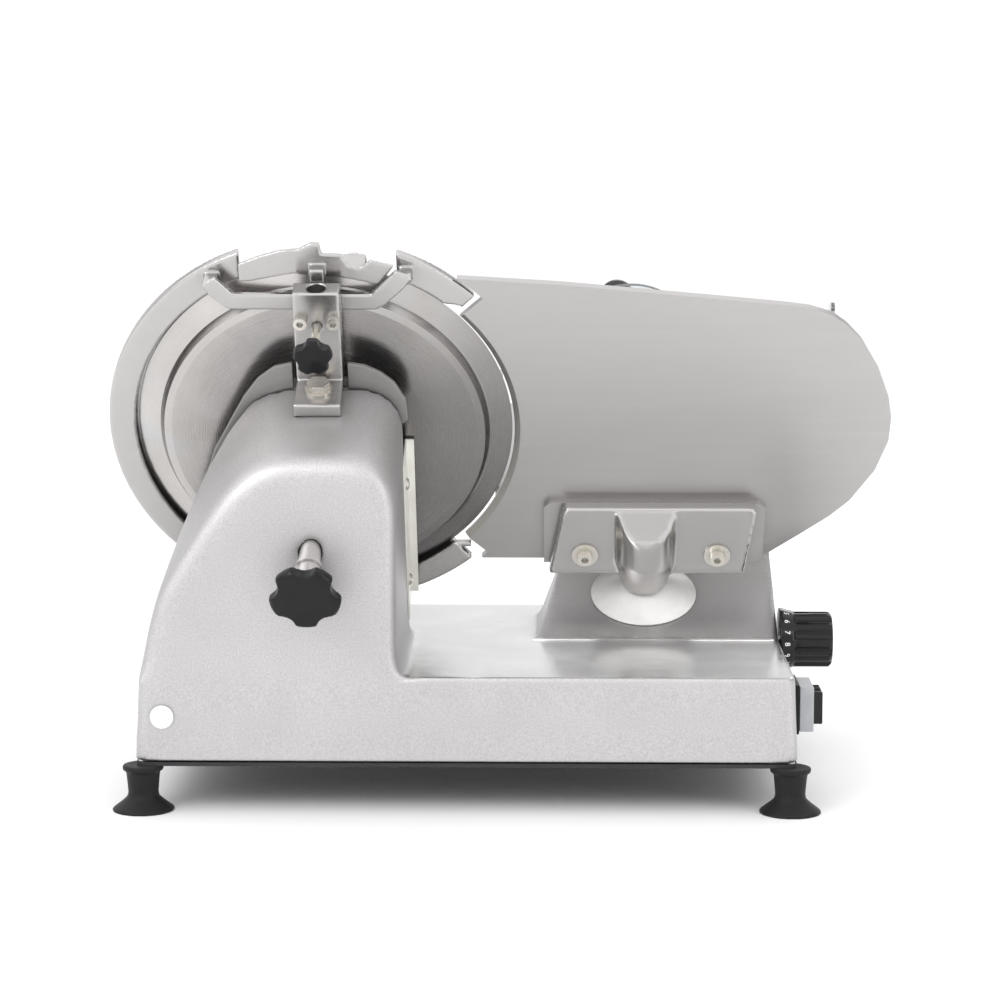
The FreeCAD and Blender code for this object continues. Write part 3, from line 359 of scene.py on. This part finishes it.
HOUSING = cast_housing()
CASTING = satin_plate("cast_fittings", 0.54, 0.24, direction=(20, 24, 20), strength=0.2)
BAR_CASTING = satin_plate("buffed_bar", 0.52, 0.22, direction=(14, 3, 3), strength=0.1)
PLATE = satin_plate("anodised_sheet", 0.52, 0.33, direction=(2, 30, 30), strength=0.1, edges=False, painted_shade=0.3)
RING = satin_plate("turned_ring", 0.52, 0.22, direction=(18, 18, 18), strength=0.14)
# The blade's steel carries a painted dark reflection fan and painted shade in its corners.
BLADE_STEEL = ground_steel("blade_steel", 0.6, 0.25, dark_reflection=0.7, painted_shade=0.15)
COVER_STEEL = ground_steel("cover_steel", 0.5, 0.22, rings=520)
STEEL = satin_plate("bright_steel", 0.68, 0.16, direction=(8, 8, 40), strength=0.08, edges=False)
FASTENER = satin_plate("zinc_fastener", 0.8, 0.2, direction=(30, 30, 30), strength=0.2,
                       tint=(1.0, 0.96, 0.88), edges=False)
SHADOW_PLATE = satin_plate("blasted_plate", 0.36, 0.4, direction=(25, 25, 25), strength=0.2, edges=False)
BLACK = plastic("black_moulding", (0.004, 0.004, 0.005), 0.3, grain=0.12, coat=0.15)
GLOSS_BLACK = plastic("gloss_black", (0.002, 0.002, 0.003), 0.14, grain=0.03, coat=0.3)
RUBBER = plastic("black_rubber", (0.009, 0.009, 0.01), 0.5, grain=0.3, sheen=0.05)
BELT = plastic("belt_rubber", (0.02, 0.02, 0.02), 0.7, grain=0.5)
NYLON = plastic("white_nylon", (0.66, 0.65, 0.64), 0.34, grain=0.08, coat=0.2, scale=900)
CREAM = plastic("cream_paint", (0.80, 0.78, 0.72), 0.32, grain=0.1, coat=0.3, scale=700)
GREY = plastic("grey_moulding", (0.36, 0.37, 0.385), 0.4, grain=0.2)
BLACK_SHEET = plastic("black_sheet", (0.03, 0.03, 0.032), 0.42, grain=0.2, scale=1200)
CLEAR = clear_sheet()
STONE = abrasive()
LABEL = label_paper()
MARKS = plastic("white_marks", (0.85, 0.85, 0.84), 0.45, grain=0.05)

BY_SLOT = {
    "cast_aluminium": CASTING, "polished_steel": STEEL, "anodised_plate": PLATE, "zinc_fastener": FASTENER,
    "black_plastic": BLACK, "black_rubber": RUBBER, "white_nylon": NYLON, "cream_sheet": CREAM,
    "clear_plastic": CLEAR, "grey_plastic": GREY, "black_sheet": BLACK_SHEET, "abrasive": STONE,
    "belt_rubber": BELT, "white_label": LABEL,
}
BY_NODE = {
    "base_housing": HOUSING, "blade": BLADE_STEEL, "blade_cover": COVER_STEEL, "guard_ring": RING,
    "sharpener_bracket": RING, "sharpener_hood": RING, "gauge_bracket": BAR_CASTING,
    "tower_plate": SHADOW_PLATE, "dial_knob": GLOSS_BLACK, "start_button": GLOSS_BLACK,
    "stop_button": GLOSS_BLACK,
}


def paint(piece, made):
    piece.data.materials.clear()
    piece.data.materials.append(made)


def finish_of(node):
    return BY_NODE.get(node, BY_SLOT[SLOT_OF[node]])


for name, cad in frame["nodes"].items():
    paint(cad, finish_of(name))

# ---------------------------------------------------------------- piece helpers

def new_piece(name, mesh, body, made):
    piece = bpy.data.objects.new(name, mesh)
    scene.collection.objects.link(piece)
    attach(piece, body)
    paint(piece, made)


def applied(piece):
    """Bake a piece's modifiers into its mesh."""
    graph = bpy.context.evaluated_depsgraph_get()
    mesh = bpy.data.meshes.new_from_object(piece.evaluated_get(graph))
    piece.modifiers.clear()
    piece.data = mesh


def welded(mesh):
    """Join the points that meet along a CAD mesh's edges."""
    made = bmesh.new()
    made.from_mesh(mesh)
    bmesh.ops.remove_doubles(made, verts=made.verts, dist=WELD)
    made.to_mesh(mesh)
    made.free()
    return mesh


def merged(name, meshes):
    """One mesh from several, which are used up."""
    made = bmesh.new()
    for mesh in meshes:
        made.from_mesh(mesh)
        bpy.data.meshes.remove(mesh)
    bmesh.ops.recalc_face_normals(made, faces=made.faces)
    mesh = bpy.data.meshes.new(name)
    made.to_mesh(mesh)
    made.free()
    return mesh


def softened(node, voxel, rounds, weight=None, plugs=()):
    """Copy a CAD node, mesh it evenly and round its edges the way a casting or moulding is.

    weight gives each point's share of the smoothing, and plugs are meshes that fill holes in the copy.
    """
    mesh = welded(frame["nodes"][node].data.copy())
    if plugs:
        mesh = merged(node + "_soft", [mesh, *plugs])
    piece = bpy.data.objects.new(node + "_soft", mesh)
    scene.collection.objects.link(piece)
    remesh = piece.modifiers.new("even", "REMESH")
    remesh.mode = "VOXEL"
    remesh.voxel_size = voxel * MM
    applied(piece)
    smooth = piece.modifiers.new("soften", "SMOOTH")
    smooth.factor = 0.5
    smooth.iterations = rounds
    if weight:
        group = piece.vertex_groups.new(name="soft")
        for vertex in piece.data.vertices:
            group.add([vertex.index], weight(vertex.co), "REPLACE")
        smooth.vertex_group = "soft"
    applied(piece)
    for face in piece.data.polygons:
        face.use_smooth = True
    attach(piece, BODY_OF[node])
    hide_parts(node)
    paint(piece, finish_of(node))


def rod(name, radius, height, matrix, segments=24):
    """Closed cylinder standing on the matrix's origin; radius and height in millimetres."""
    made = bmesh.new()
    foot, head = made.verts.new((0, 0, 0)), made.verts.new((0, 0, height * MM))
    turns = [2 * math.pi * k / segments for k in range(segments)]
    low, high = ([made.verts.new((radius * MM * math.cos(turn), radius * MM * math.sin(turn), z * MM))
                  for turn in turns] for z in (0, height))
    for k in range(segments):
        nxt = (k + 1) % segments
        made.faces.new((foot, low[nxt], low[k]))
        made.faces.new((low[k], low[nxt], high[nxt], high[k]))
        made.faces.new((high[k], high[nxt], head))
    mesh = bpy.data.meshes.new(name)
    made.to_mesh(mesh)
    made.free()
    mesh.transform(matrix)
    return mesh


def bevelled(node, width):
    """Round the hard edges of a CAD node that keeps its shape; width in millimetres."""
    cad = frame["nodes"][node]
    weld = cad.modifiers.new("weld", "WELD")
    weld.merge_threshold = WELD
    bevel = cad.modifiers.new("round", "BEVEL")
    bevel.width = width * MM
    bevel.segments = 2
    bevel.limit_method = "ANGLE"
    bevel.angle_limit = math.radians(30)
    flat = cad.modifiers.new("flat_faces", "WEIGHTED_NORMAL")
    flat.weight = 100


# ---------------------------------------------------------------- castings and mouldings


def rise(value, low, high):
    """0 below low, 1 above high, straight between; in millimetres."""
    return max(0.0, min(1.0, (value / MM - low) / (high - low)))


def tower_weight(place):
    """Full softening on the tower's front and flanks, little on the base, its bores and the rear face.

    Each rise takes distances in millimetres: above the base's top, from the machine's middle, out from the
    blade, round the shaft's bore, and above the base's underside.
    """
    local = BLADE_VIEW @ place
    tower = rise(place.z - BASE_TOP, -6, 14) * rise(MACHINE.x - place.x, 30, 44)
    rear = rise(local.z, 33, 52)
    bore = rise(math.hypot(local.x, local.y), 10, 24)
    return 0.05 * rise(place.z - BASE_LOW.z, 16, 30) + 0.95 * tower * rear * bore


# The studs' holes are filled in the copy, whose voxels are too coarse for the thin walls beside them.
STUD_RADIUS = 3
PLUG_RADIUS, PLUG_HEIGHT = 4.2, 17
STUDS_LOW, STUDS_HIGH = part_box("foot_studs")
INSET = STUD_RADIUS * MM
stud_plugs = [rod("plug", PLUG_RADIUS, PLUG_HEIGHT, Matrix.Translation((x, y, BASE_LOW.z)))
              for x in (STUDS_LOW.x + INSET, STUDS_HIGH.x - INSET)
              for y in (STUDS_LOW.y + INSET, STUDS_HIGH.y - INSET)]
softened("base_housing", 2.4, 110, weight=tower_weight, plugs=stud_plugs)

# Each node's voxel in millimetres and its rounds of smoothing.
for node, voxel, rounds in (
        ("cover_knob", 0.8, 8), ("clamp_knob", 0.55, 6), ("lock_knob", 0.7, 6), ("dial_knob", 0.6, 4),
        ("gauge_bracket", 1.1, 26), ("sharpener_bracket", 0.9, 5), ("sharpener_hood", 0.8, 5),
        ("guard_ring", 0.9, 4), ("carriage_arm", 1.6, 10), ("pusher_handle", 0.9, 6),
        ("carriage_grip", 0.9, 6), ("suction_feet", 0.8, 3), ("switch_gasket", 0.6, 4),
        ("pusher_arm", 0.9, 6), ("dust_dish", 0.6, 3), ("switch_housing", 0.5, 3)):
    softened(node, voxel, rounds)

for node, width in (("gauge_plate", 0.5), ("food_tray", 0.5), ("tray_end_wall", 0.6), ("hand_guard", 0.4),
                    ("start_button", 0.8), ("stop_button", 0.8), ("bottom_plate", 0.5),
                    ("pusher_plate", 0.4), ("pusher_shield", 0.6), ("tower_plate", 0.5)):
    bevelled(node, width)

# ---------------------------------------------------------------- dial scale

DIGITS = 16
DIGIT_SIZE, DIGIT_DEPTH = 5.2, 0.12
DIGIT_SINK = 0.85
DIGIT_FROM_SKIRT = 4.6
SKIRT_SLOPE = 0.27


def solid_text(name, text):
    """Raised digits as a mesh in its own XY plane, centred on the origin."""
    curve = bpy.data.curves.new(name, "FONT")
    curve.body = text
    curve.size = DIGIT_SIZE * MM
    curve.extrude = DIGIT_DEPTH * MM
    curve.align_x = "CENTER"
    curve.align_y = "CENTER"
    carrier = bpy.data.objects.new(name, curve)
    mesh = bpy.data.meshes.new_from_object(carrier)
    bpy.data.objects.remove(carrier)
    bpy.data.curves.remove(curve)
    return mesh


DIAL_LOW, DIAL_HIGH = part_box("dial_knob")
DIAL_FOOT = Vector((DIAL_LOW.x, middle("dial_knob").y, middle("dial_knob").z))
SKIRT = (DIAL_HIGH.z - DIAL_LOW.z) / 2  # the skirt's radius, in metres
digits = []
for k in range(DIGITS):
    angle = 2 * math.pi * k / DIGITS
    outward = Vector((0, math.cos(angle), math.sin(angle)))
    lean = (outward + SKIRT_SLOPE * ACROSS).normalized()
    along = Vector((0, -math.sin(angle), math.cos(angle)))
    turn = Matrix((along, lean.cross(along), lean)).transposed().to_4x4()
    turn.translation = DIAL_FOOT + DIGIT_FROM_SKIRT * MM * ACROSS + outward * (SKIRT - DIGIT_SINK * MM)
    digit = solid_text(f"digit{k}", str(k))
    digit.transform(turn)
    digits.append(digit)
new_piece("dial_digits", merged("dial_digits", digits), "dial", MARKS)

# ---------------------------------------------------------------- pusher teeth

TEETH_ROWS, TEETH_COLUMNS = 9, 18
ROW_PITCH, COLUMN_PITCH = 7, 8
TOOTH_HALF, TOOTH_HEIGHT = 1.6, 2.8
TEETH_DROP = 2
CENTRE_TO_FACE = 2.9
PUSHER_CENTRE = BLADE_VIEW @ middle("pusher_plate")
face_out = PUSHER_CENTRE.z + CENTRE_TO_FACE * MM
teeth = bmesh.new()
for row in range(TEETH_ROWS):
    up = PUSHER_CENTRE.y + ((row - (TEETH_ROWS - 1) / 2) * ROW_PITCH - TEETH_DROP) * MM
    stagger = (row % 2 - 0.5) * COLUMN_PITCH / 2
    for column in range(TEETH_COLUMNS):
        across = PUSHER_CENTRE.x + ((column - (TEETH_COLUMNS - 1) / 2) * COLUMN_PITCH + stagger) * MM
        corners = [teeth.verts.new(BLADE_FRAME @ Vector((across + side_x * TOOTH_HALF * MM,
                                                         up + side_y * TOOTH_HALF * MM, face_out)))
                   for side_x, side_y in ((-1, -1), (1, -1), (1, 1), (-1, 1))]
        tip = teeth.verts.new(BLADE_FRAME @ Vector((across, up, face_out + TOOTH_HEIGHT * MM)))
        for first, second in zip(corners, corners[1:] + corners[:1]):
            teeth.faces.new((first, second, tip))
        teeth.faces.new(corners[::-1])
teeth_mesh = bpy.data.meshes.new("pusher_teeth")
teeth.to_mesh(teeth_mesh)
teeth.free()
new_piece("pusher_teeth", teeth_mesh, "pusher", STEEL)

# ---------------------------------------------------------------- camera, light and floor

FOCAL, SENSOR = 100.8, 36.0
CAMERA_FROM_MACHINE = Vector((54.91, -1880.64, 421.28))
CAMERA_DIP, CAMERA_TURN = 7.27, 1.10
camera_data = bpy.data.cameras.new("camera")
camera_data.lens = FOCAL
camera_data.sensor_width = SENSOR
camera = bpy.data.objects.new("camera", camera_data)
camera.location = MACHINE + CAMERA_FROM_MACHINE * MM
camera.rotation_euler = (math.radians(90 - CAMERA_DIP), 0, math.radians(CAMERA_TURN))
scene.collection.objects.link(camera)
scene.camera = camera


def softbox(name, place, aim, size, power):
    """Rectangular lamp at place that faces aim, in metres and watts."""
    light = bpy.data.lights.new(name, "AREA")
    light.shape = "RECTANGLE"
    light.size, light.size_y = size
    light.energy = power
    lamp = bpy.data.objects.new(name, light)
    lamp.location = place
    lamp.rotation_mode = "QUATERNION"
    lamp.rotation_quaternion = (Vector(aim) - Vector(place)).to_track_quat("-Z", "Y")
    scene.collection.objects.link(lamp)


CENTRE = (CAD_BOX[0] + CAD_BOX[1]) / 2
softbox("key", (-1.4, -1.8, 1.7), CENTRE, (1.1, 1.1), 16)
softbox("fill", (1.9, -1.5, 0.9), CENTRE, (0.8, 1.4), 7)
softbox("rear", (0.5, 2.0, 1.2), CENTRE, (1.4, 0.8), 8)

sun = bpy.data.lights.new("overhead", "SUN")
sun.energy = 2.7
sun.angle = math.radians(120)
sun_lamp = bpy.data.objects.new("overhead", sun)
sun_lamp.rotation_euler = (math.radians(10), math.radians(-8), 0)
scene.collection.objects.link(sun_lamp)

FLOOR_HALF = 12
floor_mesh = bpy.data.meshes.new("floor")
floor_mesh.from_pydata([(-FLOOR_HALF, -FLOOR_HALF, 0), (FLOOR_HALF, -FLOOR_HALF, 0),
                        (FLOOR_HALF, FLOOR_HALF, 0), (-FLOOR_HALF, FLOOR_HALF, 0)], [], [(0, 1, 2, 3)])
floor = bpy.data.objects.new("floor", floor_mesh)
scene.collection.objects.link(floor)
floor_tree = Tree("floor_paint")
floor_cloud = floor_tree.noise(1.2, 3, 0.5)
paint(floor, floor_tree.done(floor_tree.mixed(floor_cloud, (0.91, 0.91, 0.91), (0.94, 0.94, 0.94)),
                             floor_tree.ramp(floor_cloud, (0.0, 0.5), (1.0, 0.6))))

# The room lights the machine from a bright horizon that fades overhead; the camera sees a plain backdrop.
world = bpy.data.worlds.new("studio")
scene.world = world
world.use_nodes = True
sky = world.node_tree
backdrop = sky.nodes["Background"]
backdrop.inputs["Color"].default_value = (1.0, 1.0, 1.0, 1)
backdrop.inputs["Strength"].default_value = 1.05
room = sky.nodes.new("ShaderNodeBackground")
room.inputs["Strength"].default_value = 1.0
direction = sky.nodes.new("ShaderNodeTexCoord")
part = sky.nodes.new("ShaderNodeSeparateXYZ")
tone = sky.nodes.new("ShaderNodeValToRGB")
tone.color_ramp.elements[0].position = 0.6
tone.color_ramp.elements[0].color = (1.0, 1.0, 1.0, 1)
tone.color_ramp.elements[1].position = 0.85
tone.color_ramp.elements[1].color = (0.2, 0.2, 0.21, 1)
half = sky.nodes.new("ShaderNodeMapRange")
half.inputs["From Min"].default_value = -1.0
seen = sky.nodes.new("ShaderNodeLightPath")
choose = sky.nodes.new("ShaderNodeMixShader")
sky.links.new(direction.outputs["Generated"], part.inputs["Vector"])
sky.links.new(part.outputs["Z"], half.inputs["Value"])
sky.links.new(half.outputs["Result"], tone.inputs["Fac"])
sky.links.new(tone.outputs["Color"], room.inputs["Color"])
sky.links.new(seen.outputs["Is Camera Ray"], choose.inputs["Fac"])
sky.links.new(room.outputs["Background"], choose.inputs[1])
sky.links.new(backdrop.outputs["Background"], choose.inputs[2])
sky.links.new(choose.outputs["Shader"], sky.nodes["World Output"].inputs["Surface"])
scene.view_settings.view_transform = "Standard"
